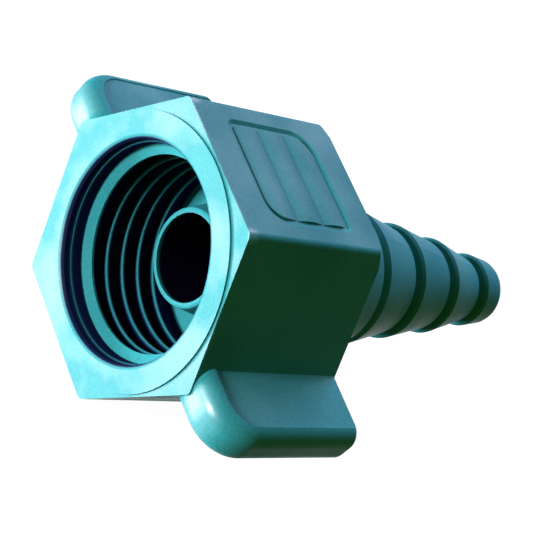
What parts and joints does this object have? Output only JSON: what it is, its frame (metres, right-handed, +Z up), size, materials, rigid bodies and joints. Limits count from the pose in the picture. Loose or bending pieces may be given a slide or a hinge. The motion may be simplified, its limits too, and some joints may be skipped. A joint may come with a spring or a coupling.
{
  "type": "winged outlet fitting with hose barb",
  "caption": "Winged hexagon fitting moulded in one piece, with a threaded mouth around a raised seat nose and a barbed hose tail",
  "frame": {"origin": "centre of the mouth, in the plane of its washer face", "axes": "+X along the wings, +Y from the mouth to the barb tip along the flow, +Z up through the grip panel"},
  "size_m": [0.0294, 0.0362, 0.0186],
  "materials": {
    "moulded_plastic": "fine matte moulded grain, dark teal green"
  },
  "bodies": {
    "root": {"fitting_body": "moulded_plastic"}
  },
  "joints": []
}
